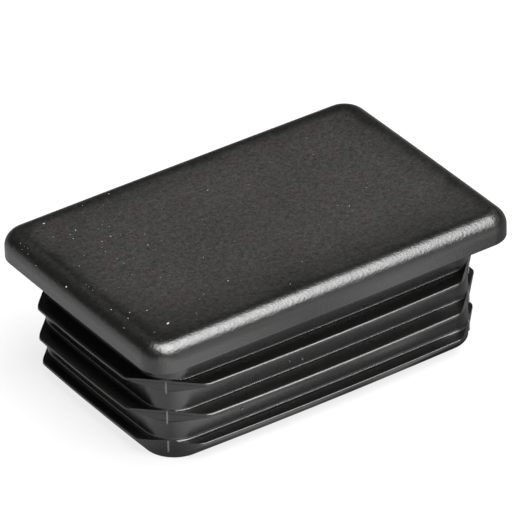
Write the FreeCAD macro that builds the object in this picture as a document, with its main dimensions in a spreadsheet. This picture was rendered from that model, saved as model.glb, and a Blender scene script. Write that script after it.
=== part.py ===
import FreeCAD, Part
import os
import Sketcher

# Rectangular ribbed cap that closes the open end of a 60 x 40 mm box section tube.
# One moulded piece: a flat head with a rolled top edge, and under it a hollow shank
# that carries three thin lamellae. Millimetres, +Z up, origin in the middle of the
# head's underside, which is the face that sits on the end of the tube. X runs along
# the long sides; the two short sides are called the ends.

doc = FreeCAD.newDocument("tube_end_cap")

# Driving sizes
sheet = doc.addObject("Spreadsheet::Sheet", "sizes")
SIZES = [
    ("head_length", 60.0),
    ("head_width", 40.0),
    ("head_thickness", 4.0),
    ("head_corner_radius", 4.0),
    ("head_edge_radius", 2.45),
    ("shank_end_inset", 3.55),
    ("shank_side_inset", 3.75),
    ("shank_corner_radius", 4.8),
    ("first_ledge_depth", 4.55),
    ("lamella_pitch", 4.92),
    ("upper_lip_end_inset", 0.92),
    ("upper_lip_side_inset", 0.72),
    ("upper_lip_corner_radius", 7.0),
    ("lower_lip_end_inset", 1.86),
    ("lower_lip_side_inset", 1.5),
    ("lower_lip_corner_radius", 6.0),
    ("lip_thickness", 0.34),
    ("lip_edge_radius", 0.22),
    ("lamella_root_thickness", 1.7),
    ("ledge_root_radius", 0.32),
    ("rim_height", 1.11),
    ("rim_chamfer", 0.25),
    ("corner_cut_leg", 10.05),
    ("corner_cut_radius", 1.2),
    ("corner_cut_clearance", 0.03),
    ("wall_thickness", 2.0),
    ("roof_thickness", 4.5),
    ("cavity_chamfer", 0.6),
]
for row, (alias, value) in enumerate(SIZES, start=1):
    sheet.set(f"A{row}", alias)
    sheet.set(f"B{row}", str(value))
    sheet.setAlias(f"B{row}", alias)
doc.recompute()


def size(alias):
    """Present number of a driving size."""
    return float(sheet.get(alias))


body = doc.addObject("PartDesign::Body", "end_cap")
xy_plane = [f for f in body.Origin.OriginFeatures if f.Role == "XY_Plane"][0]


def place_sketch(name, height):
    """Empty sketch parallel to the head's underside, at a height given as an expression."""
    sketch = doc.addObject("Sketcher::SketchObject", name)
    body.addObject(sketch)
    sketch.AttachmentSupport = [(xy_plane, "")]
    sketch.MapMode = "FlatFace"
    sketch.setExpression("AttachmentOffset.Base.z", height)
    return sketch


def bind(sketch, dimensions):
    """Adds named dimensions to a sketch and ties each one to its expression."""
    for word, arguments, expression in dimensions:
        at = sketch.addConstraint(Sketcher.Constraint(*arguments))
        sketch.renameConstraint(at, word)
        sketch.setExpression(f"Constraints.{word}", expression)


def rounded_outline(name, height, length, width, radius):
    """Rectangle with rounded corners about the vertical axis; every argument is an expression."""
    sketch = place_sketch(name, height)
    hx, hy, r = 20.0, 12.0, 2.0
    up = FreeCAD.Vector(0, 0, 1)
    quarter = 1.5707963267948966
    corners = [(hx, -hy, 3), (hx, hy, 0), (-hx, hy, 1), (-hx, -hy, 2)]
    for cx, cy, turn in corners:
        centre = FreeCAD.Vector(cx - (r if cx > 0 else -r), cy - (r if cy > 0 else -r), 0)
        circle = Part.Circle(centre, up, r)
        sketch.addGeometry(Part.ArcOfCircle(circle, turn * quarter, (turn + 1) * quarter), False)
    ends = [
        ((-hx + r, -hy), (hx - r, -hy)),
        ((hx, -hy + r), (hx, hy - r)),
        ((hx - r, hy), (-hx + r, hy)),
        ((-hx, hy - r), (-hx, -hy + r)),
    ]
    for a, b in ends:
        sketch.addGeometry(Part.LineSegment(FreeCAD.Vector(*a, 0), FreeCAD.Vector(*b, 0)), False)
    # lines 4 to 7 run bottom, right, top, left; arcs 0 to 3 follow them round
    for k in range(4):
        sketch.addConstraint(Sketcher.Constraint("Tangent", 4 + k, 2, k, 1))
        sketch.addConstraint(Sketcher.Constraint("Tangent", k, 2, 4 + (k + 1) % 4, 1))
    for k in (4, 6):
        sketch.addConstraint(Sketcher.Constraint("Horizontal", k))
    for k in (5, 7):
        sketch.addConstraint(Sketcher.Constraint("Vertical", k))
    for k in (1, 2, 3):
        sketch.addConstraint(Sketcher.Constraint("Equal", 0, k))
    sketch.addConstraint(Sketcher.Constraint("Symmetric", 1, 3, 3, 3, -1, 1))
    bind(
        sketch,
        [
            ("corner_radius", ("Radius", 0, r), radius),
            ("outline_length", ("DistanceX", 7, 1, 5, 2, 2 * hx), length),
            ("outline_width", ("DistanceY", 4, 2, 6, 1, 2 * hy), width),
        ],
    )
    return sketch


def pad(name, sketch, length, downward):
    """Straight block on an outline, its length given as an expression."""
    feature = doc.addObject("PartDesign::Pad", name)
    body.addObject(feature)
    feature.Profile = sketch
    feature.Reversed = downward
    feature.setExpression("Length", length)
    doc.recompute()
    return feature


def edges_at(height, half_length, half_width, tolerance=1e-3):
    """Names of the body's level edges that lie on a rounded rectangle of the given half sizes."""
    names = []
    for number, edge in enumerate(body.Tip.Shape.Edges, start=1):
        box = edge.BoundBox
        if abs(box.ZMin - height) > tolerance or abs(box.ZMax - height) > tolerance:
            continue
        reach_x = max(abs(box.XMin), abs(box.XMax))
        reach_y = max(abs(box.YMin), abs(box.YMax))
        if reach_x > half_length + tolerance or reach_y > half_width + tolerance:
            continue
        if abs(reach_x - half_length) < tolerance or abs(reach_y - half_width) < tolerance:
            names.append(f"Edge{number}")
    return names


def dress(kind, name, edges, **expressions):
    """Fillet or Chamfer of the named edges; each property is given as an expression."""
    feature = doc.addObject(f"PartDesign::{kind}", name)
    base = body.Tip
    body.addObject(feature)
    feature.Base = (base, edges)
    if len(expressions) == 2:
        feature.ChamferType = "Two distances"
    for word, expression in expressions.items():
        feature.setExpression(word, expression)
    doc.recompute()
    return feature


# Head plate with its rolled top edge
head_outline = rounded_outline(
    "head_outline", "0 mm", "sizes.head_length", "sizes.head_width", "sizes.head_corner_radius"
)
pad("head", head_outline, "sizes.head_thickness", False)
half_length = size("head_length") / 2
half_width = size("head_width") / 2
dress(
    "Fillet",
    "head_edge",
    edges_at(size("head_thickness"), half_length, half_width),
    Radius="sizes.head_edge_radius",
)

# Stem on which the lamellae are raised. It stays inside the shank and the hollow takes it away.
SHANK_LENGTH = "sizes.head_length - 2 * sizes.shank_end_inset"
SHANK_WIDTH = "sizes.head_width - 2 * sizes.shank_side_inset"
LAST_LEDGE = "sizes.first_ledge_depth + 2 * sizes.lamella_pitch"
SHANK_DEPTH = f"({LAST_LEDGE} + sizes.lamella_root_thickness + sizes.rim_height)"
stem_outline = rounded_outline(
    "stem_outline",
    "0 mm",
    f"{SHANK_LENGTH} - 4 * sizes.wall_thickness",
    f"{SHANK_WIDTH} - 4 * sizes.wall_thickness",
    "sizes.shank_corner_radius / 2",
)
pad("stem", stem_outline, SHANK_DEPTH, True)

# Three lamellae. Each has a level top, the ledge, and a thin upright lip, and its underside
# slopes back from the lip to the root. The slope runs on a little way past the face of the
# shank, so that shank and lamella join cleanly.
LAMELLAE = [("upper", 0, "upper"), ("middle", 1, "upper"), ("lower", 2, "lower")]
ROOT_DROP = "(sizes.lamella_root_thickness - sizes.lip_thickness)"
ledges = []
for name, place, lip in LAMELLAE:
    end_inset = f"sizes.{lip}_lip_end_inset"
    side_inset = f"sizes.{lip}_lip_side_inset"
    reach = f"(sizes.shank_side_inset - {side_inset})"
    slope_run = f"({reach} + sizes.wall_thickness / 4)"
    slope_drop = f"({ROOT_DROP} * {slope_run} / {reach})"
    outline = rounded_outline(
        f"{name}_outline",
        f"-sizes.first_ledge_depth - {place} * sizes.lamella_pitch",
        f"sizes.head_length - 2 * {end_inset}",
        f"sizes.head_width - 2 * {side_inset}",
        f"sizes.{lip}_lip_corner_radius",
    )
    block = pad(f"{name}_lamella", outline, f"sizes.lip_thickness + {slope_drop}", True)
    ledge_height = -size("first_ledge_depth") - place * size("lamella_pitch")
    lip_x = half_length - size(f"{lip}_lip_end_inset")
    lip_y = half_width - size(f"{lip}_lip_side_inset")
    dress(
        "Chamfer",
        f"{name}_underside",
        edges_at(ledge_height - block.Length.Value, lip_x, lip_y),
        Size=slope_drop,
        Size2=slope_run,
    )
    ledges.append((ledge_height, lip_x, lip_y))

# Shank, with a small chamfer that leads its rim into the tube
shank_outline = rounded_outline("shank_outline", "0 mm", SHANK_LENGTH, SHANK_WIDTH, "sizes.shank_corner_radius")
shank = pad("shank", shank_outline, SHANK_DEPTH, True)
shank_x = half_length - size("shank_end_inset")
shank_y = half_width - size("shank_side_inset")
dress("Chamfer", "rim", edges_at(-shank.Length.Value, shank_x, shank_y), Size="sizes.rim_chamfer")

# Roundings where the ledges meet the shank, and along the top of the lips
root_edges = []
for height, lip_x, lip_y in ledges:
    root_edges += edges_at(height, shank_x, shank_y)
dress("Fillet", "ledge_roots", root_edges, Radius="sizes.ledge_root_radius")
lip_edges = []
for height, lip_x, lip_y in ledges:
    lip_edges += edges_at(height, lip_x, lip_y)
dress("Fillet", "lip_edges", lip_edges, Radius="sizes.lip_edge_radius")


# Upright cut at forty-five degrees through the lamellae at each corner. Seen from above
# its outline is a straight facet that runs into both sides with a rounding. The two upper
# lamellae share one cut, the lower one has its own because its lip stands further in.
def corner_cut(name, level, lip, depth):
    """Pocket at one corner, then mirrored to the other three; level and depth are expressions."""
    sketch = place_sketch(f"{name}_outline", level)
    side_x, side_y, far = 29.0, 19.0, 34.0
    low, left, r = 9.0, 19.0, 3.0
    points = [(side_x, low), (far, low), (far, far), (left, far), (left, side_y), (side_x - 8.0, side_y)]
    for k in range(5):
        a = FreeCAD.Vector(*points[k], 0)
        b = FreeCAD.Vector(*points[k + 1], 0)
        sketch.addGeometry(Part.LineSegment(a, b), False)
    up = FreeCAD.Vector(0, 0, 1)
    eighth = 0.7853981633974483
    facet_start = FreeCAD.Vector(side_x - 6.0, side_y - 2.0, 0)
    facet_end = FreeCAD.Vector(side_x - 2.0, side_y - 6.0, 0)
    upper_arc = Part.Circle(FreeCAD.Vector(side_x - 8.0, side_y - r, 0), up, r)
    lower_arc = Part.Circle(FreeCAD.Vector(side_x - r, side_y - 8.0, 0), up, r)
    lower_end = FreeCAD.Vector(side_x, side_y - 8.0, 0)
    sketch.addGeometry(Part.ArcOfCircle(upper_arc, eighth, 2 * eighth), False)
    sketch.addGeometry(Part.LineSegment(facet_start, facet_end), False)
    sketch.addGeometry(Part.ArcOfCircle(lower_arc, 0, eighth), False)
    sketch.addGeometry(Part.LineSegment(lower_end, FreeCAD.Vector(side_x, low, 0)), False)
    # geometry 0 to 4 outer border, 5 upper arc, 6 facet, 7 lower arc, 8 line along the end
    for k in range(4):
        sketch.addConstraint(Sketcher.Constraint("Coincident", k, 2, k + 1, 1))
    sketch.addConstraint(Sketcher.Constraint("Tangent", 4, 2, 5, 2))
    sketch.addConstraint(Sketcher.Constraint("Tangent", 5, 1, 6, 1))
    sketch.addConstraint(Sketcher.Constraint("Tangent", 6, 2, 7, 2))
    sketch.addConstraint(Sketcher.Constraint("Tangent", 7, 1, 8, 1))
    sketch.addConstraint(Sketcher.Constraint("Coincident", 8, 2, 0, 1))
    for k in (0, 2, 4):
        sketch.addConstraint(Sketcher.Constraint("Horizontal", k))
    for k in (1, 3, 8):
        sketch.addConstraint(Sketcher.Constraint("Vertical", k))
    sketch.addConstraint(Sketcher.Constraint("Equal", 5, 7))
    half_x = "sizes.head_length / 2"
    half_y = "sizes.head_width / 2"
    facet = f"({half_x} + {half_y} - sizes.corner_cut_leg) / sqrt(2)"
    end_face = f"{half_x} - sizes.{lip}_lip_end_inset + sizes.corner_cut_clearance"
    side_face = f"{half_y} - sizes.{lip}_lip_side_inset + sizes.corner_cut_clearance"
    bind(
        sketch,
        [
            ("rounding", ("Radius", 5, r), "sizes.corner_cut_radius"),
            ("facet_turn", ("Angle", 6, -eighth), "-45 deg"),
            ("facet_distance", ("Distance", -1, 1, 6, 30.0), facet),
            ("end_face", ("DistanceX", -1, 1, 8, 2, side_x), end_face),
            ("side_face", ("DistanceY", -1, 1, 4, 1, side_y), side_face),
            ("outside_x", ("DistanceX", -1, 1, 1, 1, far), f"{half_x} + sizes.shank_end_inset"),
            ("outside_y", ("DistanceY", -1, 1, 2, 1, far), f"{half_y} + sizes.shank_side_inset"),
            ("start_x", ("DistanceX", -1, 1, 3, 1, left), f"{half_x} - sizes.corner_cut_leg - sizes.corner_cut_radius"),
            ("start_y", ("DistanceY", -1, 1, 0, 1, low), f"{half_y} - sizes.corner_cut_leg - sizes.corner_cut_radius"),
        ],
    )
    doc.recompute()
    pocket = doc.addObject("PartDesign::Pocket", name)
    body.addObject(pocket)
    pocket.Profile = sketch
    pocket.setExpression("Length", depth)
    doc.recompute()
    pattern = doc.addObject("PartDesign::MultiTransform", f"{name}s")
    body.addObject(pattern)
    pattern.Originals = [pocket]
    mirrors = []
    for plane in [f for f in body.Origin.OriginFeatures if f.Role in ("YZ_Plane", "XZ_Plane")]:
        mirror = doc.addObject("PartDesign::Mirrored", f"{name}_{plane.Role[:2].lower()}")
        mirror.MirrorPlane = (plane, [""])
        mirrors.append(mirror)
        body.addObject(mirror)
    pattern.Transformations = mirrors
    body.Tip = pattern
    doc.recompute()
    return pattern


# The upper cut starts half way between head and first ledge and ends half way between the
# last two ledges, where the lower cut takes over.
corner_cut(
    "upper_corner_cut",
    "-sizes.first_ledge_depth / 2",
    "upper",
    "sizes.first_ledge_depth / 2 + 3 * sizes.lamella_pitch / 2",
)
corner_cut(
    "lower_corner_cut",
    "-sizes.first_ledge_depth - 3 * sizes.lamella_pitch / 2",
    "lower",
    SHANK_DEPTH,
)

# Hollow of the shank, open at the bottom, with its walls thickened by a chamfer at the roof
cavity_outline = rounded_outline(
    "cavity_outline",
    f"-{SHANK_DEPTH}",
    f"{SHANK_LENGTH} - 2 * sizes.wall_thickness",
    f"{SHANK_WIDTH} - 2 * sizes.wall_thickness",
    "sizes.shank_corner_radius - sizes.wall_thickness",
)
cavity = doc.addObject("PartDesign::Pocket", "cavity")
body.addObject(cavity)
cavity.Profile = cavity_outline
cavity.Reversed = True
cavity.setExpression("Length", f"{SHANK_DEPTH} + sizes.head_thickness - sizes.roof_thickness")
doc.recompute()
dress(
    "Chamfer",
    "cavity_roof",
    edges_at(
        size("head_thickness") - size("roof_thickness"),
        shank_x - size("wall_thickness"),
        shank_y - size("wall_thickness"),
    ),
    Size="sizes.cavity_chamfer",
)

# Checks and export
body.Label = "end_cap"
doc.recompute()
for item in doc.Objects:
    if "Invalid" in item.State or "Error" in item.State:
        raise RuntimeError(f"{item.Name} did not compute: {item.State}")
if not body.Shape.isValid() or len(body.Shape.Solids) != 1:
    raise RuntimeError("the cap is not one valid solid")
os.makedirs("parts", exist_ok=True)
body.Shape.exportStep(f"parts/{body.Label}.step")
print("end_cap", body.Shape.BoundBox, "volume", round(body.Shape.Volume, 1))
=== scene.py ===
"""Rectangular tube end cap: the moulded body, its parting ridges, the dust on it, and the studio."""

import math

import bpy
from mathutils import Matrix, Vector


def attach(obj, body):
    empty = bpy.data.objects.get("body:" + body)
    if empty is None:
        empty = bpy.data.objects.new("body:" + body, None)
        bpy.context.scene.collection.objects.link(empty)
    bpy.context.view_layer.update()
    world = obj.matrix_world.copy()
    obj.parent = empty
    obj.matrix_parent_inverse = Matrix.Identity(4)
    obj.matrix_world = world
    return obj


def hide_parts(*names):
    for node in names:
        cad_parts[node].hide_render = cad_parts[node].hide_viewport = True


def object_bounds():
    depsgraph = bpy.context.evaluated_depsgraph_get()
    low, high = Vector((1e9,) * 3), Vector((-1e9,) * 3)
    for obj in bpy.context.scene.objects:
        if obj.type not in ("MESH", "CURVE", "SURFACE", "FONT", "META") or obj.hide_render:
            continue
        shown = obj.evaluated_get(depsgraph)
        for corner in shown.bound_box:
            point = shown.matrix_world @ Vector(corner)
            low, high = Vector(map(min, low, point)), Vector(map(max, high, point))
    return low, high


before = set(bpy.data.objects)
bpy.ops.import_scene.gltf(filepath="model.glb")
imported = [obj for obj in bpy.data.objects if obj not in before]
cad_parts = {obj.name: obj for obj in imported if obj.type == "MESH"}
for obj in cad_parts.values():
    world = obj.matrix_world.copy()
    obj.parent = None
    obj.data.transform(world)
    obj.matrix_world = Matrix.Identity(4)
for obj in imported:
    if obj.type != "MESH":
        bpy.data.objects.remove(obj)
CAD_LOW, CAD_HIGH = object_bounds()

bl_info = {
    "name": "Tube End Cap",
    "version": (1, 0, 0),
    "blender": (4, 5, 0),
    "location": "View3D > Sidebar > End Cap",
    "description": "Builds a ribbed plastic end cap for rectangular tube, with its studio",
    "category": "Add Mesh",
}

MM = 0.001
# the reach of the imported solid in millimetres, from which the cap's outer sizes come
HALF_LENGTH, HALF_WIDTH, HEAD_HEIGHT = (round(reach / MM, 3) for reach in CAD_HIGH)
SHANK_DEPTH = round(-CAD_LOW[2] / MM, 3)
BODY = "root"
NODE = "end_cap"
SEED = 11
WHITE = (1.0, 1.0, 1.0, 1.0)
# the large soft box overhead: the way to it, the line its height follows, its distance and size in metres
KEY_FROM = (0.13, -0.30, 0.93)
KEY_ALONG = (0.0, 0.96, 0.25)
KEY_DISTANCE = 0.9
KEY_SIZE = (0.90, 1.00)
# compass direction, anticlockwise from +X in degrees, and brightness of the studio seen that way
SURROUNDINGS = (
    (0, 0.30), (56, 0.46), (98, 0.28), (112, 0.34), (120, 0.55), (128, 0.76),
    (190, 0.70), (214, 0.66), (236, 1.45), (262, 1.30), (286, 0.56), (303, 1.50),
    (308, 1.35), (314, 0.35), (322, 0.28), (360, 0.30),
)
FLOOR_RADIUS = 6.0
FLOOR_SIDES = 96
# the camera's place in metres, its turn in degrees, and its lens and film width in millimetres
CAMERA_AT = (-0.43272254, -0.65332803, 0.49962407)
CAMERA_TURN = (57.3704555, 1.44789023, -34.441095)
CAMERA_LENS = 475.864
FILM_WIDTH = 36.0
# brightness straight overhead, and how far up the backdrop's light reaches at least and at most, from 0 to 1
OVERHEAD = 0.04
LEAST_REACH = 0.07
MOST_REACH = 0.5


# Node graphs

class Wire:
    """The output of a node. Sums and products of wires add the Math nodes that work them out."""

    def __init__(self, graph, socket):
        self.graph = graph
        self.socket = socket

    def maths(self, operation, *values):
        """A Math node on these values, which are wires or numbers."""
        return self.graph.add("ShaderNodeMath", {"operation": operation}, dict(enumerate(values))).out()

    def __add__(self, other):
        return self.maths("ADD", self, other)

    __radd__ = __add__

    def __sub__(self, other):
        return self.maths("SUBTRACT", self, other)

    def __rsub__(self, other):
        return self.maths("SUBTRACT", other, self)

    def __mul__(self, other):
        return self.maths("MULTIPLY", self, other)

    __rmul__ = __mul__

    def __truediv__(self, other):
        return self.maths("DIVIDE", self, other)

    def __rtruediv__(self, other):
        return self.maths("DIVIDE", other, self)

    def __pow__(self, other):
        return self.maths("POWER", self, other)

    def __neg__(self):
        return self.maths("MULTIPLY", self, -1.0)

    def __abs__(self):
        return self.maths("ABSOLUTE", self)

    def rounded(self):
        return self.maths("ROUND", self)

    def floored(self):
        return self.maths("FLOOR", self)

    def over(self, other):
        """1 where it is greater, 0 elsewhere."""
        return self.maths("GREATER_THAN", self, other)

    def at_least(self, other):
        return self.maths("MAXIMUM", self, other)

    def at_most(self, other):
        return self.maths("MINIMUM", self, other)

    def ramp(self, start, end):
        """0 up to start, 1 from end, smooth in between."""
        settings = {"interpolation_type": "SMOOTHSTEP"}
        sockets = {"Value": self, "From Min": start, "From Max": end}
        return self.graph.add("ShaderNodeMapRange", settings, sockets).out("Result")


class Step:
    """A node that has been added, with its outputs."""

    def __init__(self, graph, node):
        self.graph = graph
        self.node = node

    def out(self, name=None):
        """The output of this name, or else the first one."""
        live = [socket for socket in self.node.outputs if socket.enabled]
        found = live[0] if name is None else next(socket for socket in live if socket.name == name)
        return Wire(self.graph, found)


class Graph:
    """A node tree that is built one call a node."""

    def __init__(self, tree):
        self.tree = tree

    def add(self, kind, settings=None, sockets=None):
        """Adds a node, with its settings first, and then its sockets, given by name or by place."""
        node = self.tree.nodes.new(kind)
        for name, value in (settings or {}).items():
            setattr(node, name, value)
        for name, value in (sockets or {}).items():
            live = [socket for socket in node.inputs if socket.enabled]
            socket = live[name] if isinstance(name, int) else next(s for s in live if s.name == name)
            if isinstance(value, Wire):
                self.tree.links.new(value.socket, socket)
            else:
                socket.default_value = value
        return Step(self, node)

    def combine(self, x, y, z):
        return self.add("ShaderNodeCombineXYZ", None, {"X": x, "Y": y, "Z": z}).out()

    def split(self, vector):
        step = self.add("ShaderNodeSeparateXYZ", None, {"Vector": vector})
        return step.out("X"), step.out("Y"), step.out("Z")

    def mix_colour(self, factor, first, second):
        sockets = {"Factor": factor, "A": first, "B": second}
        return self.add("ShaderNodeMix", {"data_type": "RGBA"}, sockets).out("Result")

    def field(self, label, kind="FLOAT"):
        """The values that the points carry under this name."""
        step = self.add("GeometryNodeInputNamedAttribute", {"data_type": kind}, {"Name": label})
        return step.out("Attribute")

    def chance(self, seed, low=0.0, high=1.0, kind="FLOAT"):
        """A random value for each point."""
        sockets = {"Min": low, "Max": high, "Seed": seed}
        return self.add("FunctionNodeRandomValue", {"data_type": kind}, sockets).out("Value")


def shape_tree(name, inputs):
    """A Geometry Nodes tree with a geometry in and out, and inputs of (name, socket kind, default)."""
    tree = bpy.data.node_groups.new(name, "GeometryNodeTree")
    tree.interface.new_socket("Geometry", in_out="INPUT", socket_type="NodeSocketGeometry")
    for label, kind, default in inputs:
        socket = tree.interface.new_socket(label, in_out="INPUT", socket_type=kind)
        if default is not None:
            socket.default_value = default
    tree.interface.new_socket("Geometry", in_out="OUTPUT", socket_type="NodeSocketGeometry")
    graph = Graph(tree)
    return graph, graph.add("NodeGroupInput")


def close_tree(graph, geometry, material):
    """Ends a tree in real geometry that carries its material."""
    real = graph.add("GeometryNodeRealizeInstances", None, {"Geometry": geometry}).out()
    done = graph.add("GeometryNodeSetMaterial", None, {"Geometry": real, "Material": material}).out()
    graph.add("NodeGroupOutput", None, {"Geometry": done})


def grow(name, start, graph, values):
    """Runs a tree on a start mesh and returns its result as a plain mesh object at the origin."""
    source = bpy.data.objects.new(name + "_start", start)
    bpy.context.collection.objects.link(source)
    modifier = source.modifiers.new(name, "NODES")
    modifier.node_group = graph.tree
    identifiers = {
        item.name: item.identifier
        for item in graph.tree.interface.items_tree
        if item.item_type == "SOCKET" and item.in_out == "INPUT"
    }
    for label, value in values.items():
        modifier[identifiers[label]] = value
    depsgraph = bpy.context.evaluated_depsgraph_get()
    mesh = bpy.data.meshes.new_from_object(source.evaluated_get(depsgraph), depsgraph=depsgraph)
    source.modifiers.remove(modifier)
    bpy.data.objects.remove(source)
    mesh.name = name
    piece = bpy.data.objects.new(name, mesh)
    bpy.context.collection.objects.link(piece)
    if not mesh.polygons:
        raise RuntimeError(name + " came out empty")
    return piece


def point_mesh(name, points, fields):
    """A mesh of loose points with named values on them: fields is name -> (kind, list)."""
    mesh = bpy.data.meshes.new(name)
    mesh.from_pydata([tuple(p) for p in points], [], [])
    for label, (kind, values) in fields.items():
        attribute = mesh.attributes.new(label, kind, "POINT")
        for item, value in zip(attribute.data, values):
            if kind == "FLOAT_VECTOR":
                item.vector = value
            else:
                item.value = value
    return mesh


# Settings

def length(name, description, millimetres):
    """A size, with its default in millimetres."""
    return bpy.props.FloatProperty(
        name=name,
        description=description,
        default=millimetres * MM,
        subtype="DISTANCE",
        unit="LENGTH",
        precision=5,
    )


def colour(name, description, value):
    """A colour, in linear red, green and blue."""
    return bpy.props.FloatVectorProperty(
        name=name,
        description=description,
        default=value,
        subtype="COLOR",
        size=3,
        min=0.0,
        max=1.0,
    )


def level(name, description, value, highest):
    """A strength from 0 to its highest."""
    return bpy.props.FloatProperty(
        name=name,
        description=description,
        default=value,
        min=0.0,
        max=highest,
    )


class EndCapHead(bpy.types.PropertyGroup):
    """Sizes of the flat head."""

    half_length: length("Half length", "Half of the head's long side", HALF_LENGTH)
    half_width: length("Half width", "Half of the head's short side", HALF_WIDTH)
    thickness: length("Thickness", "Height of the head above the tube's end", HEAD_HEIGHT)
    corner: length("Corner radius", "Rounding of the head's corners seen from above", 3.8)
    edge: length("Edge radius", "Rolled edge round the top face", 2.3)


class EndCapShank(bpy.types.PropertyGroup):
    """Sizes of the shank and its lamellae."""

    half_length: length("Half length", "Half of the shank's long side", 26.45)
    half_width: length("Half width", "Half of the shank's short side", 16.25)
    corner: length("Corner radius", "Rounding of the shank's upright corners", 4.8)
    depth: length("Depth", "Reach of the shank below the head", SHANK_DEPTH)
    wall: length("Wall", "Thickness of the shank's wall", 2.0)
    first_ledge: length("First ledge", "Depth of the first flat ledge below the head", 4.55)
    pitch: length("Pitch", "Distance from one ledge to the next", 4.92)
    lip: length("Lip thickness", "Height of a lamella's upright edge", 0.44)
    corner_cut: length("Corner cut", "Sum of the X and Y of the upright cut across each corner", 39.95)
    corner_ease: length("Corner ease", "Softness of the cut's two upright edges", 0.45)


class EndCapFinish(bpy.types.PropertyGroup):
    """Colours of the plastic, the ridges and the dust."""

    plastic: colour("Plastic", "Black of the moulded plastic", (0.0026, 0.0027, 0.0021))
    # the bloom colour is partly a painted sheen: the plastic lays it paler in the middle of the top face and
    # thinner, as painted shade, towards its edges, the front and the left
    bloom_and_painted_sheen: colour("Bloom and painted sheen", "Paler bloom on the handled top face", (0.0308, 0.0295, 0.0277))
    # the ridges' pale colour is a painted highlight: it makes the parting ridges look as if their crests
    # caught the light
    painted_ridge_highlight: colour("Painted ridge highlight", "Pale crests of the parting ridges", (0.10, 0.096, 0.09))
    dust: colour("Dust", "Specks of pale dust", (0.34, 0.33, 0.315))
    roughness: level("Roughness", "Roughness of the satin finish", 0.3, 1.0)


class EndCapStage(bpy.types.PropertyGroup):
    """The studio's paper and light."""

    floor: colour("Floor", "Colour of the paper floor", (0.62, 0.62, 0.62))
    key: level("Key", "Brightness of the large soft box overhead", 10.4, 200.0)


class EndCapSettings(bpy.types.PropertyGroup):
    """All settings of the cap and its studio."""

    head: bpy.props.PointerProperty(type=EndCapHead)
    shank: bpy.props.PointerProperty(type=EndCapShank)
    finish: bpy.props.PointerProperty(type=EndCapFinish)
    stage: bpy.props.PointerProperty(type=EndCapStage)


def settings(context):
    return context.scene.end_cap


# The section and the outline

# how far the long and the short sides of the head, the shank and the lower rim bow out, in millimetres
HEAD_BOW = (0.08, 0.06)
WALL_BOW = (0.26, 0.15)
RIM_BOW = (0.3, 0.15)
# room kept for the dust between the top face and the head's full height
DUST_ROOM = 0.03 * MM
# loops of the flat top face, in from its rolled edge
TOP_LOOPS = (6.0 * MM, 3.0 * MM)
# how far the shank's wall stands inside its full size at the corners
WALL_INSET = 0.05 * MM
# the hollow's roof and the slope below it
ROOF = -0.5 * MM
ROOF_SLOPE = 0.6 * MM
# roundings of the section's corners
HEAD_LOWER_EDGE = 0.14 * MM
HEAD_ROOT = 0.3 * MM
LIP_LOWER_EDGE = 0.05 * MM
LOWER_ROOT = 0.3 * MM
RIM_OUTER_EDGE = 0.28 * MM
RIM_INNER_EDGE = 0.12 * MM
ROOF_EDGE = 0.2 * MM
# longest step down the section, and the shorter one on the lamellae, which keeps the corner cuts crisp
LONG_STEP = 0.8 * MM
SHORT_STEP = 0.16 * MM
# the lamellae's part of the section: below this height and beyond this reach
LAMELLA_TOP = -4.0 * MM
LAMELLA_INNER = 16.1 * MM
# the corner cut: how high above the first ledge it ends, and how far out from the shank it is full
CUT_ABOVE = 1.0 * MM
CUT_REACH = 1.5 * MM
# a hair's breadth, which tells neighbouring rows apart
HAIR = 0.01 * MM
# stations of a side: where the close ones near its ends start, how many they are, and how many lie between
LONG_STATIONS = (0.80, 18, 14)
SHORT_STATIONS = (0.70, 13, 8)
CORNER_STATIONS = 28
# the ridges on the corner cuts of each lamella: top above the ledge and height, in millimetres
RIDGES = ((0.12, 2.35), (0.16, 2.35), (0.16, 2.0))
RIDGE_HALF_WIDTH = 0.15 * MM
RIDGE_RISE = 0.2 * MM
# x, y, height (None is on the top face) and radius of the larger specks of dust, in millimetres
SPECKS = (
    (-24.04, -14.34, None, 0.30), (-23.76, 16.60, None, 0.27), (-12.36, 17.68, None, 0.15),
    (-0.90, 10.28, None, 0.13), (-18.22, 8.34, None, 0.14), (-15.32, 3.54, None, 0.12),
    (-11.61, -10.46, None, 0.16), (-25.71, 4.68, None, 0.10), (-22.65, 11.00, None, 0.13),
    (-21.21, 12.59, None, 0.17), (-24.50, -9.99, None, 0.19), (-26.64, -9.05, None, 0.17),
    (16.96, -2.30, None, 0.14), (-0.82, -12.46, None, 0.09), (-6.04, -16.45, -8.05, 0.28),
    (-3.90, -16.45, -8.56, 0.24), (-13.94, -16.45, -12.68, 0.28), (-29.41, 2.34, 3.20, 0.16),
    (-29.59, 9.66, 2.96, 0.11), (-28.25, -6.94, None, 0.14), (-29.02, -11.20, 3.56, 0.09),
    (-22.38, 12.10, None, 0.12), (-24.57, 12.91, None, 0.13), (-27.60, -10.07, None, 0.12),
    (-28.84, 13.67, 3.68, 0.07), (-28.85, 14.65, 3.67, 0.06), (-28.80, 12.97, 3.70, 0.06),
    (-29.24, 12.19, 3.38, 0.06), (-29.26, 13.66, 3.36, 0.06),
)
# in millimetres: side lip, end lip, side root, end root, the lip's bow, rounding of the root, and of the lip
LAMELLAE = (
    (19.02, 28.98, 1.70, 1.53, (0.42, 0.2), 0.36, 0.42),
    (19.10, 28.98, 1.70, 1.53, (0.46, 0.2), 0.40, 0.42),
    (18.30, 28.08, 1.70, 1.38, (0.42, 0.2), 0.52, 0.24),
)


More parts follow.
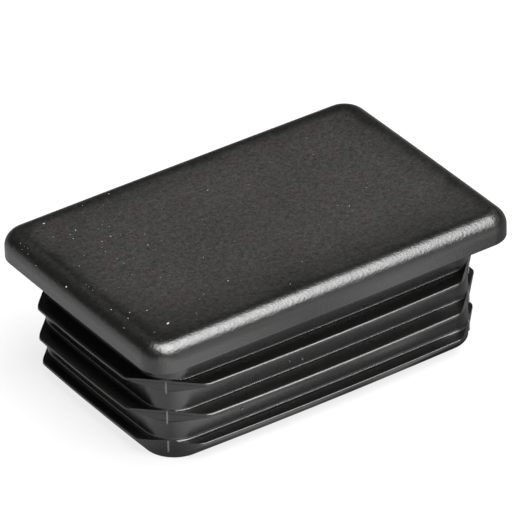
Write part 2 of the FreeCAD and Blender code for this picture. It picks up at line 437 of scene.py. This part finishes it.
class SectionLine:
    """The cap's upright section, from the middle of the top face round to the hollow's roof.

    Each corner of the line is given for the long sides and for the short sides at once:
    the reach from the middle plane and the height.
    """

    def __init__(self):
        self.corners = []

    def to(self, side, side_height, end, end_height, radius=0.0, parts=5, bow=(0.0, 0.0)):
        """Adds a corner, with its rounding, the parts of the rounding, and the bow in millimetres."""
        self.corners.append((
            Vector((side, side_height)),
            Vector((end, end_height)),
            radius,
            parts,
            Vector(bow) * MM,
        ))

    def rounded_rows(self):
        """The corners as rows (side point, end point, bow), with the rounded ones turned into arcs."""
        sides = [corner[0] for corner in self.corners]
        ends = [corner[1] for corner in self.corners]
        last = len(self.corners) - 1
        rows = []
        for i, (side, end, radius, parts, bow) in enumerate(self.corners):
            if radius <= 0.0 or i in (0, last):
                rows.append((side, end, bow))
                continue
            side_arc = arc_points(*sides[i - 1:i + 2], radius, parts)
            end_arc = arc_points(*ends[i - 1:i + 2], radius, parts)
            rows += [(a, b, bow) for a, b in zip(side_arc, end_arc)]
        return rows

    def rows(self):
        """The rounded rows, with more between them where they lie far apart."""
        rows = self.rounded_rows()
        filled = [rows[0]]
        for last, row in zip(rows, rows[1:]):
            run = (row[0] - last[0]).length
            pieces = max(1, math.ceil(run / longest_step(last[0], row[0])))
            for k in range(1, pieces + 1):
                filled.append(tuple(a.lerp(b, k / pieces) for a, b in zip(last, row)))
        return filled


def longest_step(last, point):
    """How far apart two rows of the section may lie here."""
    low = max(last.y, point.y) < LAMELLA_TOP
    outside = min(last.x, point.x) > LAMELLA_INNER
    return SHORT_STEP if low and outside else LONG_STEP


def arc_points(before, corner, after, radius, parts):
    """A rounded corner: a point just before it, the arc, and a point just after it."""
    into = (before - corner).normalized()
    out = (after - corner).normalized()
    half = into.angle(out) / 2.0
    reach = radius / math.tan(half)
    start = corner + into * reach
    stop = corner + out * reach
    centre = corner + (into + out).normalized() * (radius / math.sin(half))
    first = start - centre
    last = stop - centre
    sweep = first.angle(last)
    turn = 1.0 if first.cross(last) > 0 else -1.0
    points = []
    for k in range(parts + 1):
        angle = turn * sweep * k / parts
        points.append(centre + Vector((
            first.x * math.cos(angle) - first.y * math.sin(angle),
            first.x * math.sin(angle) + first.y * math.cos(angle),
        )))
    margin = min(0.05 * MM, reach * 0.4)
    return [start + into * margin] + points + [stop + out * margin]


def cap_section(head, shank):
    """Rows of the whole cap: reaches and heights in metres.

    The real cap's sides bow out a little, so each reach is that at the corners, and the bow adds to it.
    """
    line = SectionLine()
    spread = head.half_length - head.half_width
    out = head.half_width - HEAD_BOW[0] * MM
    out_end = head.half_length - HEAD_BOW[1] * MM
    top = head.thickness - DUST_ROOM
    line.to(0.0, top, 0.0, top)
    for inset in TOP_LOOPS:
        loop = out - head.edge - inset
        line.to(loop, top, loop + spread, top)
    line.to(out, top, out_end, top, head.edge, 16, HEAD_BOW)
    line.to(out, 0.0, out_end, 0.0, HEAD_LOWER_EDGE, 4, HEAD_BOW)
    wall = shank.half_width - WALL_INSET
    end = shank.half_length - WALL_INSET
    line.to(wall, 0.0, end, 0.0, HEAD_ROOT, 4, WALL_BOW)
    for tier, (side_lip, end_lip, side_root, end_root, bow, root, lip) in enumerate(LAMELLAE):
        ledge = -(shank.first_ledge + tier * shank.pitch)
        below = ledge - shank.lip
        side = side_lip * MM
        far = end_lip * MM
        line.to(wall, ledge, end, ledge, root * MM, 5, WALL_BOW)
        line.to(side, ledge, far, ledge, lip * MM, 7, bow)
        line.to(side, below, far, below, LIP_LOWER_EDGE, 3, bow)
        line.to(wall, ledge - side_root * MM, end, ledge - end_root * MM, LOWER_ROOT, 3, WALL_BOW)
    foot = -shank.depth
    inside = wall - shank.wall
    inside_end = end - shank.wall
    slope_foot = ROOF - ROOF_SLOPE
    line.to(wall, foot, end, foot, RIM_OUTER_EDGE, 5, RIM_BOW)
    line.to(inside, foot, inside_end, foot, RIM_INNER_EDGE, 3, RIM_BOW)
    line.to(inside, slope_foot, inside_end, slope_foot, ROOF_EDGE, 3)
    line.to(inside - ROOF_SLOPE, ROOF, inside_end - ROOF_SLOPE, ROOF, ROOF_EDGE, 3)
    line.to(0.0, ROOF, 0.0, ROOF)
    return line.rows()


def cut_share(side, height, shank):
    """How far the corner cut reaches this row: 0 on the shank's wall, 1 out on a lamella."""
    if height > CUT_ABOVE - shank.first_ledge or side <= shank.half_width:
        return 0.0
    return min(1.0, (side - shank.half_width) / CUT_REACH)


def corner_radius(side, height, head, shank):
    """Corner rounding of the row at this reach and height."""
    out = head.half_width - HEAD_BOW[0] * MM
    inner = out - head.edge
    top = head.thickness - DUST_ROOM
    if height > top - 0.1 * HAIR and side < inner:
        return min(head.corner - head.edge + 0.6 * (inner - side), 0.9 * side)
    if height > HAIR:
        return head.corner - (out - side)
    if side > shank.half_width + HAIR and height > -1.0 * MM:
        part = (side - shank.half_width) / (out - shank.half_width)
        return shank.corner + (head.corner - shank.corner) * part
    if side < shank.half_width - shank.wall + HAIR:
        return min(shank.corner - shank.wall, 0.9 * side)
    return shank.corner + (side - shank.half_width)


def section_mesh(head, shank):
    """The section's rows as points that carry all that the sweep needs to know of them."""
    rows = cap_section(head, shank)
    places = []
    fields = {name: [] for name in (
        "side", "side_height", "end", "end_height", "side_bow", "end_bow", "corner", "cut",
    )}
    for side, end, bow in rows:
        values = (
            side.x,
            side.y,
            end.x,
            end.y,
            bow.x,
            bow.y,
            corner_radius(side.x, side.y, head, shank),
            cut_share(side.x, side.y, shank),
        )
        places.append((side.x, 0.0, side.y))
        for held, value in zip(fields.values(), values):
            held.append(value)
    return point_mesh("section", places, {name: ("FLOAT", held) for name, held in fields.items()})


def outline_stations():
    """Stations once round the cap: their place along the sides, from -1 to 1, and the way they face."""
    long_side = spaced(*LONG_STATIONS)
    short_side = spaced(*SHORT_STATIONS)
    along, facing = [], []
    for quarter in range(4):
        side = long_side if quarter % 2 == 0 else short_side
        for t in side[:-1]:
            along.append(turn_quarter((t, -1.0), quarter))
            facing.append(turn_quarter((0.0, -1.0), quarter))
        for k in range(CORNER_STATIONS):
            angle = (quarter - 1.0 + k / CORNER_STATIONS) * math.pi / 2.0
            along.append(turn_quarter((1.0, -1.0), quarter))
            facing.append((math.cos(angle), math.sin(angle), 0.0))
    return along, facing


def turn_quarter(point, quarter):
    """The point turned by a number of right angles."""
    x, y = point
    for _ in range(quarter):
        x, y = -y, x
    return (x, y, 0.0)


def spaced(edge, edge_parts, middle_parts):
    """Values from -1 to 1 that lie closer together beyond plus and minus edge."""
    left = [-1.0 + (1.0 - edge) * k / edge_parts for k in range(edge_parts)]
    middle = [-edge + 2.0 * edge * k / middle_parts for k in range(middle_parts)]
    right = [edge + (1.0 - edge) * k / edge_parts for k in range(edge_parts + 1)]
    return left + middle + right


# Shape trees

def sweep_tree():
    """Carries the section round the outline, and cuts the lamellae off across the corners.

    A grid gets a row for each point of the section and a column for each station, and each of its points
    is moved to its place: along the straight side first, and then outwards by the row's corner rounding.
    """
    graph, given = shape_tree("cap_sweep", (
        ("Outline", "NodeSocketObject", None),
        ("Corner Cut", "NodeSocketFloat", 0.04),
        ("Corner Ease", "NodeSocketFloat", 0.001),
        ("Material", "NodeSocketMaterial", None),
    ))
    section = given.out("Geometry")
    outline = graph.add("GeometryNodeObjectInfo", None, {"Object": given.out("Outline")}).out("Geometry")

    def count(geometry):
        size = graph.add("GeometryNodeAttributeDomainSize", None, {"Geometry": geometry})
        return size.out("Point Count")

    def read(geometry, label, index, kind="FLOAT"):
        sockets = {"Geometry": geometry, "Value": graph.field(label, kind), "Index": index}
        return graph.add("GeometryNodeSampleIndex", {"data_type": kind}, sockets).out()

    rows = count(section)
    stations = count(outline)
    sheet = graph.add("GeometryNodeMeshGrid", None, {
        "Size X": 1.0,
        "Size Y": 1.0,
        "Vertices X": rows,
        "Vertices Y": stations + 1,
    }).out("Mesh")
    x, y, _ = graph.split(graph.add("GeometryNodeInputPosition").out())
    row = ((x + 0.5) * (rows - 1)).rounded()
    place = ((y + 0.5) * stations).rounded()
    station = place - stations * ((place + 0.5) / stations).floored()
    side = read(section, "side", row)
    side_height = read(section, "side_height", row)
    side_bow = read(section, "side_bow", row)
    end = read(section, "end", row)
    end_height = read(section, "end_height", row)
    end_bow = read(section, "end_bow", row)
    radius = read(section, "corner", row)
    cut = read(section, "cut", row)
    along_x, along_y, _ = graph.split(read(outline, "along", station, "FLOAT_VECTOR"))
    face_x, face_y, _ = graph.split(read(outline, "facing", station, "FLOAT_VECTOR"))
    far_x = along_x * (end - radius) + face_x * (radius + end_bow * (1.0 - along_y * along_y))
    far_y = along_y * (side - radius) + face_y * (radius + side_bow * (1.0 - along_x * along_x))
    height = side_height * face_y * face_y + end_height * face_x * face_x
    over = (abs(far_x) + abs(far_y) - given.out("Corner Cut")) / (abs(face_x) + abs(face_y))
    ease = (given.out("Corner Ease") * cut).at_least(1e-7)
    near = (over + ease).at_least(0.0).at_most(ease * 2.0)
    pull = (near * near / (ease * 4.0) + (over - ease).at_least(0.0)) * cut.over(0.001)
    spot = graph.combine(far_x - face_x * pull, far_y - face_y * pull, height)
    shaped = graph.add("GeometryNodeSetPosition", None, {"Geometry": sheet, "Position": spot}).out()
    closed = graph.add("GeometryNodeMergeByDistance", None, {"Geometry": shaped, "Distance": 1e-6}).out()
    smooth = graph.add("GeometryNodeSetShadeSmooth", None, {"Geometry": closed, "Shade Smooth": True}).out()
    close_tree(graph, smooth, given.out("Material"))
    return graph


def ridge_tree():
    """Sets a half-round upright ridge, tapered at both ends, on each given point."""
    graph, given = shape_tree("ridge_row", (
        ("Half Width", "NodeSocketFloat", 0.0001),
        ("Rise", "NodeSocketFloat", 0.0001),
        ("Material", "NodeSocketMaterial", None),
    ))
    ends = {"Start": (0.0, 0.0, 0.0), "End": (0.0, 0.0, -1.0)}
    line = graph.add("GeometryNodeCurvePrimitiveLine", None, ends).out()
    stem = graph.add("GeometryNodeResampleCurve", None, {"Curve": line, "Count": 15}).out()
    part = graph.add("GeometryNodeSplineParameter").out("Factor")
    girth = (1.0 - abs(part * 2.0 - 1.0) ** 5.0) ** 0.5
    round_stem = graph.add("GeometryNodeSetCurveRadius", None, {"Curve": stem, "Radius": girth}).out()
    circle = graph.add("GeometryNodeCurvePrimitiveCircle", None, {"Resolution": 12, "Radius": 1.0})
    bar = graph.add("GeometryNodeCurveToMesh", None, {
        "Curve": round_stem,
        "Profile Curve": circle.out("Curve"),
        "Scale": girth.at_least(0.02),
        "Fill Caps": True,
    }).out("Mesh")
    bars = graph.add("GeometryNodeInstanceOnPoints", None, {
        "Points": given.out("Geometry"),
        "Instance": bar,
        "Rotation": graph.combine(0.0, 0.0, graph.field("turn")),
        "Scale": graph.combine(given.out("Rise"), given.out("Half Width"), graph.field("tall")),
    }).out()
    smooth = graph.add("GeometryNodeSetShadeSmooth", None, {"Geometry": bars, "Shade Smooth": True}).out()
    close_tree(graph, smooth, given.out("Material"))
    return graph


def dust_tree():
    """Strews fine dust over the top face, thicker towards -X, and sets a larger speck on each given point.

    Dust that stands proud of the face is pressed flat, so that it stays within the room kept for it.
    """
    graph, given = shape_tree("dust_fall", (
        ("Length", "NodeSocketFloat", 0.05),
        ("Width", "NodeSocketFloat", 0.03),
        ("Height", "NodeSocketFloat", 0.0),
        ("Room", "NodeSocketFloat", 0.00003),
        ("Count Density", "NodeSocketFloat", 100000.0),
        ("Speck", "NodeSocketFloat", 0.00005),
        ("Seed", "NodeSocketInt", 1),
        ("Material", "NodeSocketMaterial", None),
    ))
    seed = given.out("Seed")
    face = graph.add("GeometryNodeMeshGrid", None, {
        "Size X": given.out("Length"),
        "Size Y": given.out("Width"),
        "Vertices X": 2,
        "Vertices Y": 2,
    }).out("Mesh")
    lift = graph.combine(0.0, 0.0, given.out("Height"))
    raised = graph.add("GeometryNodeSetPosition", None, {"Geometry": face, "Offset": lift}).out()
    strewn = graph.add("GeometryNodeDistributePointsOnFaces", None, {
        "Mesh": raised,
        "Density": given.out("Count Density"),
        "Seed": seed,
    }).out("Points")
    x, _, _ = graph.split(graph.add("GeometryNodeInputPosition").out())
    thick = 0.12 + 0.88 * (-x / given.out("Length") * 2.0).ramp(0.0, 1.0)
    kept = graph.add("GeometryNodeDeleteGeometry", {"domain": "POINT"}, {
        "Geometry": strewn,
        "Selection": graph.chance(seed + 7).over(thick),
    }).out()
    small = given.out("Speck") * (0.45 + 1.6 * graph.chance(seed + 13) ** 6.0)
    sized = graph.add("GeometryNodeStoreNamedAttribute", {"data_type": "FLOAT", "domain": "POINT"}, {
        "Geometry": kept,
        "Name": "size",
        "Value": small,
    }).out()
    both = graph.add("GeometryNodeJoinGeometry")
    for geometry in (sized, given.out("Geometry")):
        graph.tree.links.new(geometry.socket, both.node.inputs["Geometry"])
    grain = graph.add("GeometryNodeMeshIcoSphere", None, {"Radius": 1.0, "Subdivisions": 2}).out("Mesh")
    turns = graph.chance(seed + 3, (0.0, 0.0, 0.0), (6.28, 6.28, 6.28), "FLOAT_VECTOR")
    shape = graph.chance(seed + 5, (0.6, 0.4, 0.3), (1.0, 0.9, 0.6), "FLOAT_VECTOR")
    sizes = {0: shape, "Scale": graph.field("size")}
    scaled = graph.add("ShaderNodeVectorMath", {"operation": "SCALE"}, sizes)
    specks = graph.add("GeometryNodeInstanceOnPoints", None, {
        "Points": both.out(),
        "Instance": grain,
        "Rotation": turns,
        "Scale": scaled.out(),
    }).out()
    loose = graph.add("GeometryNodeRealizeInstances", None, {"Geometry": specks}).out()
    _, _, z = graph.split(graph.add("GeometryNodeInputPosition").out())
    proud = (z - given.out("Height")).at_least(0.0)
    sunk = graph.combine(0.0, 0.0, (proud * 0.35).at_most(given.out("Room")) - proud)
    pressed = graph.add("GeometryNodeSetPosition", None, {"Geometry": loose, "Offset": sunk}).out()
    close_tree(graph, pressed, given.out("Material"))
    return graph


# Materials

def new_material(name):
    """An empty node material: (material, graph)."""
    material = bpy.data.materials.new(name)
    material.use_nodes = True
    graph = Graph(material.node_tree)
    graph.tree.nodes.clear()
    return material, graph


def principled(graph, sockets):
    """Ends a material in a Principled shader with these sockets."""
    shader = graph.add("ShaderNodeBsdfPrincipled", None, sockets).out("BSDF")
    graph.add("ShaderNodeOutputMaterial", None, {"Surface": shader})


def noise(graph, at, scale, detail=2.0, roughness=0.5):
    """An even noise round 0.5. The scale is in waves to the metre."""
    sockets = {"Vector": at, "Scale": scale, "Detail": detail, "Roughness": roughness}
    return graph.add("ShaderNodeTexNoise", {"noise_dimensions": "3D"}, sockets).out("Fac")


def tinted(shade, tint):
    """The colour times the tint, as a socket's value."""
    return (*[a * b for a, b in zip(shade, tint)], 1.0)


def black_plastic(name, plastic, finish, head):
    """Satin black plastic with a fine moulded grain, and a pale bloom on the top face that is partly painted
    sheen: the face is painted paler in the middle and darker, as painted shade, towards its edges, the front
    and the left.
    """
    material, graph = new_material(name)
    at = graph.add("ShaderNodeTexCoord").out("Object")
    x, y, z = graph.split(at)
    grain = noise(graph, at, 2800.0, 2.0, 0.7) - 0.5
    pebble = noise(graph, at, 2700.0, 2.0, 0.6)
    mottle = noise(graph, at, 1300.0, 2.0, 0.6)
    tint = noise(graph, at, 520.0, 3.0, 0.6)
    cloud = noise(graph, at, 110.0, 3.0, 0.55) - 0.5
    inset_x = head.half_length - abs(x)
    inset_y = head.half_width - abs(y)
    inset = inset_x.maths("SMOOTH_MIN", inset_x, inset_y, 3.0 * MM)

    # the bloom on the top face is partly painted light: it is paler in the middle, as a painted sheen, and
    # thins out towards all edges, and again over the front and the left, as painted shade
    on_top = z.over(head.thickness - 0.2 * MM)
    drift = 4.0 * MM * cloud
    from_edge = inset + 2.4 * MM * cloud
    from_front = (y + head.half_width + drift).ramp(3.0 * MM, 14.0 * MM)
    from_left = (x + head.half_length + drift).ramp(3.0 * MM, 16.0 * MM)
    painted_edge_shade_ramp = 0.75 * from_edge.ramp(2.3 * MM, 4.2 * MM) + 0.25 * from_edge.ramp(3.8 * MM, 8.0 * MM)
    bloom_and_sheen_mask = painted_edge_shade_ramp * (0.42 + 0.44 * from_front + 0.14 * from_left) * on_top
    cover = bloom_and_sheen_mask * (0.62 + 0.16 * cloud + 0.5 * (mottle - 0.5) + 1.7 * grain)
    warm = tinted(finish.bloom_and_painted_sheen, (1.07, 0.97, 0.97))
    cool = tinted(finish.bloom_and_painted_sheen, (0.94, 1.02, 0.99))
    bloom_and_painted_sheen = graph.mix_colour(tint.ramp(0.35, 0.65), warm, cool)

    # the rolled edge is a little rougher, and the shank much smoother than the head
    rolled = 1.0 - inset.ramp(1.9 * MM, 2.6 * MM)
    rough = finish.roughness + 0.04 * rolled + 0.08 * cloud + 0.2 * (mottle - 0.5)
    height = (0.8 * pebble + 0.2 * mottle) * (0.07 + 0.93 * z.over(0.0))
    bump = graph.add("ShaderNodeBump", None, {"Strength": 1.0, "Distance": 0.055 * MM, "Height": height})
    principled(graph, {
        "Base Color": graph.mix_colour(cover, (*plastic, 1.0), bloom_and_painted_sheen),
        "Roughness": rough,
        "IOR": 1.5,
        "Specular IOR Level": 1.0,
        "Normal": bump.out("Normal"),
    })
    return material


def dust_material(finish):
    """Matte pale dust."""
    material, graph = new_material("pale_dust")
    at = graph.add("ShaderNodeTexCoord").out("Object")
    tone = noise(graph, at, 2500.0)
    dim = tinted(finish.dust, (0.6, 0.6, 0.6))
    principled(graph, {
        "Base Color": graph.mix_colour(tone, dim, (*finish.dust, 1.0)),
        "Roughness": 0.8 + 0.1 * tone,
    })
    return material


# Operators

class ENDCAP_OT_body(bpy.types.Operator):
    """Build the moulded body: head, shank, lamellae and hollow"""

    bl_idname = "end_cap.body"
    bl_label = "Moulded Body"

    def execute(self, context):
        cap = settings(context)
        along, facing = outline_stations()
        stations = point_mesh("outline", along, {
            "along": ("FLOAT_VECTOR", along),
            "facing": ("FLOAT_VECTOR", facing),
        })
        guide = bpy.data.objects.new("outline", stations)
        context.collection.objects.link(guide)
        body = grow("moulded_body", section_mesh(cap.head, cap.shank), sweep_tree(), {
            "Outline": guide,
            "Corner Cut": cap.shank.corner_cut,
            "Corner Ease": cap.shank.corner_ease,
            "Material": black_plastic("satin_black_plastic", cap.finish.plastic, cap.finish, cap.head),
        })
        bpy.data.objects.remove(guide)
        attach(body, BODY)
        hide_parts(NODE)
        return {"FINISHED"}


class ENDCAP_OT_ridges(bpy.types.Operator):
    """Build the fine upright ridges that the mould's parting line leaves on the corner cuts"""

    bl_idname = "end_cap.ridges"
    bl_label = "Parting Ridges"

    def execute(self, context):
        cap = settings(context)
        shank = cap.shank
        centre = (shank.half_length - shank.corner, shank.half_width - shank.corner)
        reach = (shank.corner_cut - sum(centre)) / 2.0
        points, turns, heights = [], [], []
        for sx in (-1, 1):
            for sy in (-1, 1):
                spot = (sx * (centre[0] + reach), sy * (centre[1] + reach))
                for tier, (rise, tall) in enumerate(RIDGES):
                    ledge = -(shank.first_ledge + tier * shank.pitch)
                    points.append((*spot, ledge + rise * MM))
                    turns.append(math.atan2(sy, sx))
                    heights.append(tall * MM)
        start = point_mesh("ridge_places", points, {"turn": ("FLOAT", turns), "tall": ("FLOAT", heights)})
        ridges = grow("parting_ridges", start, ridge_tree(), {
            "Half Width": RIDGE_HALF_WIDTH,
            "Rise": RIDGE_RISE,
            # the ridges take a pale colour that is a painted highlight on their crests
            "Material": black_plastic("ridge_plastic_painted_highlight", cap.finish.painted_ridge_highlight, cap.finish, cap.head),
        })
        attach(ridges, BODY)
        return {"FINISHED"}


class ENDCAP_OT_dust(bpy.types.Operator):
    """Strew the pale dust on the top face, and the larger specks"""

    bl_idname = "end_cap.dust"
    bl_label = "Dust"

    def execute(self, context):
        cap = settings(context)
        head = cap.head
        top = head.thickness - DUST_ROOM
        margin = 1.6 * MM
        points = [(x * MM, y * MM, top if z is None else z * MM) for x, y, z, radius in SPECKS]
        radii = [radius * MM for x, y, z, radius in SPECKS]
        start = point_mesh("speck_places", points, {"size": ("FLOAT", radii)})
        dust = grow("dust", start, dust_tree(), {
            "Length": 2.0 * (head.half_length - margin),
            "Width": 2.0 * (head.half_width - margin),
            "Height": top,
            "Room": 0.9 * DUST_ROOM,
            "Count Density": 6.0e5,
            "Speck": 0.055 * MM,
            "Seed": SEED,
            "Material": dust_material(cap.finish),
        })
        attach(dust, BODY)
        return {"FINISHED"}


class ENDCAP_OT_studio(bpy.types.Operator):
    """Set up the floor, the lights and the camera"""

    bl_idname = "end_cap.studio"
    bl_label = "Studio"

    def execute(self, context):
        cap = settings(context)
        make_floor(context, cap.stage, cap.shank)
        make_world(context)
        make_key_light(context, cap.stage.key)
        make_camera(context)
        context.scene.view_settings.view_transform = "Standard"
        return {"FINISHED"}


def surroundings(graph, x, y):
    """Brightness of the studio in the compass direction of x and y."""
    turn = x.maths("ARCTAN2", y, x) / (2.0 * math.pi)
    step = graph.add("ShaderNodeValToRGB", None, {"Fac": turn.maths("WRAP", turn, 1.0, 0.0)})
    stops = step.node.color_ramp.elements
    for degrees, _ in SURROUNDINGS[1:-1]:
        stops.new(degrees / 360.0)
    # a stop holds half of the brightness, because its colour ends at 1
    for stop, (_, brightness) in zip(stops, SURROUNDINGS):
        half = brightness / 2.0
        stop.color = (half, half, half, 1.0)
    return 2.0 * step.out("Color")


def make_floor(context, stage, shank):
    """A round sheet of pale paper under the cap, which shows only from above."""
    ring = []
    for k in range(FLOOR_SIDES):
        angle = 2.0 * math.pi * k / FLOOR_SIDES
        ring.append((FLOOR_RADIUS * math.cos(angle), FLOOR_RADIUS * math.sin(angle), -shank.depth))
    mesh = bpy.data.meshes.new("floor")
    mesh.from_pydata(ring, [], [tuple(range(FLOOR_SIDES))])
    material, graph = new_material("paper_floor")
    paper = graph.add("ShaderNodeBsdfDiffuse", None, {"Color": (*stage.floor, 1.0)}).out("BSDF")
    path = graph.add("ShaderNodeLightPath")
    to_camera = path.out("Is Camera Ray")
    x, y, _ = graph.split(graph.add("ShaderNodeTexCoord").out("Object"))
    # in the cap's reflections the floor glows with painted light, as bright as the studio behind it, and a
    # painted shadow dims it close beside the shank
    clear_of_painted_shadow = (abs(x) - shank.half_length).at_least(abs(y) - shank.half_width).ramp(0.0, 6.0 * MM)
    shine = surroundings(graph, x, y) * (0.45 + 0.55 * clear_of_painted_shadow)
    strength = shine + (1.0 - shine) * to_camera
    white = graph.add("ShaderNodeEmission", None, {"Color": WHITE, "Strength": strength}).out()
    seen = (0.8 * to_camera).at_least(path.out("Is Glossy Ray"))
    lit = graph.add("ShaderNodeMixShader", None, {0: seen, 1: paper, 2: white}).out()
    gone = graph.add("ShaderNodeBsdfTransparent").out()
    behind = graph.add("ShaderNodeNewGeometry").out("Backfacing")
    one_way = graph.add("ShaderNodeMixShader", None, {0: behind, 1: lit, 2: gone}).out()
    graph.add("ShaderNodeOutputMaterial", None, {"Surface": one_way})
    mesh.materials.append(material)
    floor = bpy.data.objects.new("floor", mesh)
    context.collection.objects.link(floor)


def make_world(context):
    """White to the camera, and for the light a backdrop that darkens overhead."""
    world = bpy.data.worlds.new("studio")
    world.use_nodes = True
    graph = Graph(world.node_tree)
    graph.tree.nodes.clear()
    x, y, up = graph.split(graph.add("ShaderNodeTexCoord").out("Generated"))
    shine = surroundings(graph, x, y)
    # the brighter the backdrop is on a side, the higher it reaches there
    reach = ((shine - 0.62) * 1.4).at_least(LEAST_REACH).at_most(MOST_REACH)
    strength = OVERHEAD + shine * (1.0 - up.ramp(0.0, reach))
    light = graph.add("ShaderNodeBackground", None, {"Color": WHITE, "Strength": strength})
    white = graph.add("ShaderNodeBackground", None, {"Color": WHITE, "Strength": 1.0})
    seen = graph.add("ShaderNodeLightPath").out("Is Camera Ray")
    mixed = graph.add("ShaderNodeMixShader", None, {0: seen, 1: light.out(), 2: white.out()}).out()
    graph.add("ShaderNodeOutputWorld", None, {"Surface": mixed})
    context.scene.world = world


def make_key_light(context, strength):
    """The large soft box, which faces the cap from overhead. Strength 1 is as bright as white."""
    width, height = KEY_SIZE
    lamp = bpy.data.lights.new("key_light", "AREA")
    lamp.shape = "RECTANGLE"
    lamp.size = width
    lamp.size_y = height
    lamp.energy = strength * math.pi * width * height
    away = Vector(KEY_FROM).normalized()
    across = Vector(KEY_ALONG).cross(away).normalized()
    upward = away.cross(across)
    box = bpy.data.objects.new("key_light", lamp)
    box.location = away * KEY_DISTANCE
    box.rotation_euler = Matrix((across, upward, away)).transposed().to_euler()
    context.collection.objects.link(box)


def make_camera(context):
    """A long lens from the front left, well above the head."""
    lens = bpy.data.cameras.new("camera")
    lens.sensor_fit = "HORIZONTAL"
    lens.sensor_width = FILM_WIDTH
    lens.lens = CAMERA_LENS
    lens.clip_start = 0.05
    lens.clip_end = 20.0
    camera = bpy.data.objects.new("camera", lens)
    camera.location = CAMERA_AT
    camera.rotation_euler = tuple(math.radians(degrees) for degrees in CAMERA_TURN)
    context.collection.objects.link(camera)
    context.scene.camera = camera


# Panel and start

class ENDCAP_PT_panel(bpy.types.Panel):
    """Buttons that build the cap and its studio"""

    bl_idname = "ENDCAP_PT_panel"
    bl_label = "End Cap"
    bl_space_type = "VIEW_3D"
    bl_region_type = "UI"
    bl_category = "End Cap"

    def draw(self, context):
        cap = settings(context)
        for group in (cap.head, cap.shank, cap.finish, cap.stage):
            box = self.layout.box()
            for name in group.__annotations__:
                box.prop(group, name)
        for operator in OPERATORS:
            self.layout.operator(operator.bl_idname)


OPERATORS = (ENDCAP_OT_body, ENDCAP_OT_ridges, ENDCAP_OT_dust, ENDCAP_OT_studio)
GROUPS = (EndCapHead, EndCapShank, EndCapFinish, EndCapStage, EndCapSettings)
CLASSES = (*GROUPS, *OPERATORS, ENDCAP_PT_panel)


def register():
    for item in CLASSES:
        bpy.utils.register_class(item)
    bpy.types.Scene.end_cap = bpy.props.PointerProperty(type=EndCapSettings)


def unregister():
    del bpy.types.Scene.end_cap
    for item in reversed(CLASSES):
        bpy.utils.unregister_class(item)


def main():
    register()
    bpy.ops.end_cap.body()
    bpy.ops.end_cap.ridges()
    bpy.ops.end_cap.dust()
    bpy.ops.end_cap.studio()


if __name__ == "__main__":
    main()
